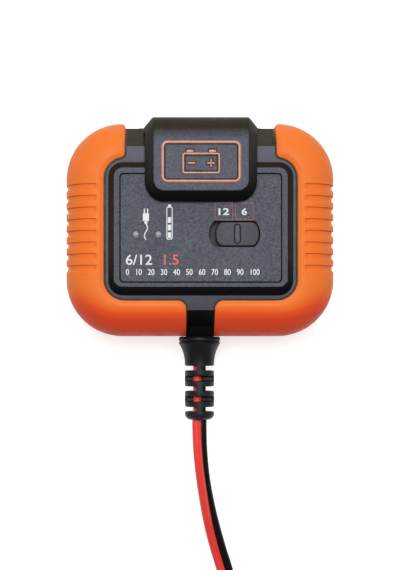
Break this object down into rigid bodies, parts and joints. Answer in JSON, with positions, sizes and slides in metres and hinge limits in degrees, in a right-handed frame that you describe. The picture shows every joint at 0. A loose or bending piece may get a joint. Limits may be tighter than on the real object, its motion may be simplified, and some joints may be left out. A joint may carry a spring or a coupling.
{
  "type": "car battery charger",
  "caption": "Compact automatic 6/12 V car battery charger: grey housing with orange soft bumpers, fold-over hanging hook, slide switch, mains inlet and two-core lead with quick connector.",
  "frame": {"origin": "middle of the flat back that the charger lies on, lead left out", "axes": "+Z out of the front, +Y towards the hanging hook, +X to the right as the front is read; the lead leaves towards -Y"},
  "size_m": [0.1386, 0.3043, 0.0481],
  "materials": {
    "grey_plastic": "fine grained",
    "orange_rubber": "soft satin",
    "panel_plastic": "fine grained",
    "steel": "satin",
    "orange_print": "satin",
    "knob_plastic": "fine grained",
    "clear_lens": "frosted",
    "led_green": "clear tinted",
    "led_red": "clear tinted",
    "board_green": "solder mask",
    "black_plastic": "moulded",
    "nickel": "nickel plated",
    "wire_brown": "insulation",
    "ferrite": "sintered",
    "bobbin_plastic": "moulded",
    "winding_tape": "tape",
    "capacitor_sleeve": "shrink sleeve",
    "choke_green": "coated",
    "ceramic": "glazed",
    "capacitor_yellow": "moulded",
    "aluminium": "bare",
    "black_rubber": "moulded satin",
    "lead_red": "extruded",
    "lead_black": "extruded"
  },
  "bodies": {
    "housing": {"front_cover": "grey_plastic", "rear_cover": "grey_plastic", "bumper_left": "orange_rubber", "bumper_right": "orange_rubber", "face_panel": "panel_plastic", "hook_pin": "steel", "switch_body": "steel", "lens_power": "clear_lens", "lens_charge": "clear_lens", "led_power": "led_green", "led_charge": "led_red", "circuit_board": "board_green", "board_screws": "steel", "case_screws": "steel", "inlet_socket": "black_plastic", "inlet_pins": "nickel", "mains_wires": "wire_brown", "transformer_core": "ferrite", "transformer_bobbin": "bobbin_plastic", "transformer_winding": "winding_tape", "input_capacitor": "capacitor_sleeve", "output_capacitors": "capacitor_sleeve", "filter_choke": "choke_green", "fuse": "ceramic", "bridge_rectifier": "black_plastic", "safety_capacitor": "capacitor_yellow", "heat_sink": "aluminium", "switch_transistor": "black_plastic", "output_diode": "black_plastic", "control_chips": "black_plastic", "strain_relief": "black_rubber", "core_positive": "lead_red", "core_negative": "lead_black", "dc_lead": "lead_red", "dc_lead_coil": "lead_red", "connector_body": "black_rubber", "connector_contacts": "nickel"},
    "hook": {"hanging_hook": "grey_plastic", "hook_badge": "orange_print"},
    "knob": {"switch_knob": "knob_plastic"}
  },
  "joints": [
    {"name": "hook_hinge", "type": "hinge", "parent": "housing", "child": "hook", "pos_m": [0, 0.0424, 0.021], "axis": [-1, 0, 0], "range_deg": [0, 90]},
    {"name": "knob_slide", "type": "slide", "parent": "housing", "child": "knob", "axis": [-1, 0, 0], "range_m": [0, 0.0024]}
  ]
}
